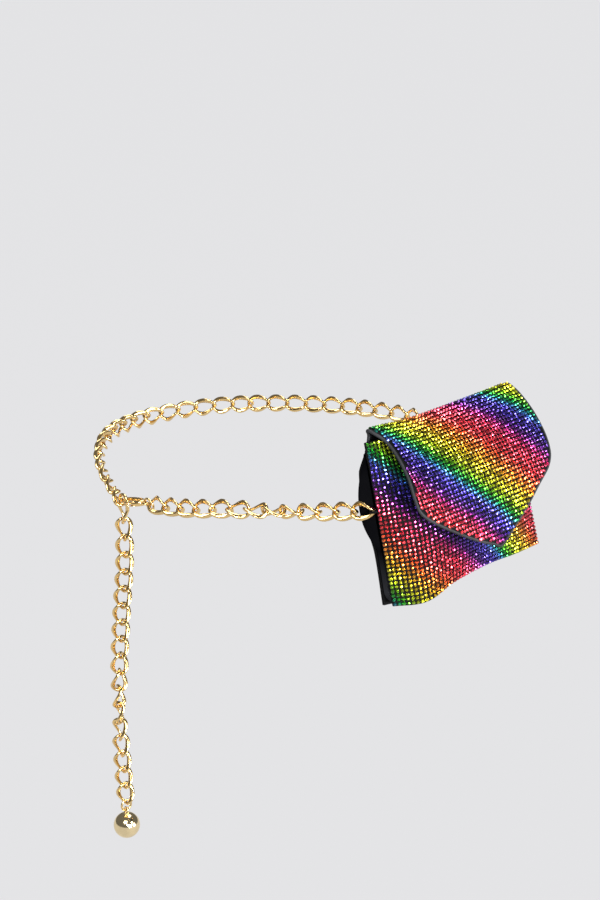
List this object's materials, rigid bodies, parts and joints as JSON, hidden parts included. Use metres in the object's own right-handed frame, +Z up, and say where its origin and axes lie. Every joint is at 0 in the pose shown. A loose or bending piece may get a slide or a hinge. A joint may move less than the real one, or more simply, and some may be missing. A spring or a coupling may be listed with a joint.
{
  "type": "mini bag on a chain belt",
  "caption": "Small envelope-flap bag paved with rainbow-striped stones, worn on a gold curb-chain belt that closes with a lobster clasp and ends in a hanging ball.",
  "frame": {"origin": "middle of the waist loop, at about the height of the clasp", "axes": "+Z up; the bag's paved front faces -Y and its width runs along X"},
  "size_m": [0.1898, 0.2538, 0.2695],
  "materials": {
    "black_leather": "satin grained imitation leather",
    "rainbow_stones": "faceted foil-backed stones in rainbow stripes",
    "gold_metal": "polished pale gold plating"
  },
  "bodies": {
    "bag_and_belt": {"back_and_flap": "black_leather", "back_chain_1": "gold_metal", "back_chain_2": "gold_metal", "back_chain_3": "gold_metal", "back_chain_4": "gold_metal", "clasp_body": "gold_metal", "clasp_ring": "gold_metal", "flap_stones": "rainbow_stones", "front_link_01": "gold_metal", "front_link_02": "gold_metal", "front_link_03": "gold_metal", "front_link_04": "gold_metal", "front_link_05": "gold_metal", "front_link_06": "gold_metal", "front_link_07": "gold_metal", "front_link_08": "gold_metal", "front_link_09": "gold_metal", "front_link_10": "gold_metal", "front_link_11": "gold_metal", "front_link_12": "gold_metal", "front_link_13": "gold_metal", "front_panel": "black_leather", "front_stones": "rainbow_stones", "gusset": "black_leather", "side_link_01": "gold_metal", "side_link_02": "gold_metal", "side_link_03": "gold_metal", "side_link_04": "gold_metal", "side_link_05": "gold_metal", "side_link_06": "gold_metal", "side_link_07": "gold_metal", "side_link_08": "gold_metal", "side_link_09": "gold_metal", "side_link_10": "gold_metal", "side_link_11": "gold_metal", "side_tab_left": "black_leather", "side_tab_right": "black_leather", "tail_link_01": "gold_metal", "tail_link_02": "gold_metal", "tail_link_03": "gold_metal", "tail_link_04": "gold_metal", "tail_link_05": "gold_metal", "tail_link_06": "gold_metal", "tail_link_07": "gold_metal", "tail_link_08": "gold_metal", "tail_link_09": "gold_metal", "tail_link_10": "gold_metal", "tail_link_11": "gold_metal", "tail_link_12": "gold_metal", "tail_link_13": "gold_metal", "tail_link_14": "gold_metal", "tail_link_15": "gold_metal", "tail_link_16": "gold_metal", "tail_link_17": "gold_metal", "tail_link_18": "gold_metal"},
    "clasp_lever": {"clasp_lever": "gold_metal"},
    "ball_drop": {"drop_ring": "gold_metal", "ball_drop": "gold_metal"}
  },
  "joints": [
    {"name": "clasp_lever_hinge", "type": "hinge", "parent": "bag_and_belt", "child": "clasp_lever", "pos_m": [-0.09216, 0.01569, -0.00194], "axis": [-0.0081, -0.177, -0.9842], "range_deg": [0, 25], "stiffness_Nm_per_rad": 0.01, "springref_deg": -17.19},
    {"name": "ball_swing", "type": "hinge", "parent": "bag_and_belt", "child": "ball_drop", "pos_m": [-0.08992, 0.0318, -0.18536], "axis": [0.0458, 0.999, 0], "range_deg": [-35, 35]}
  ]
}
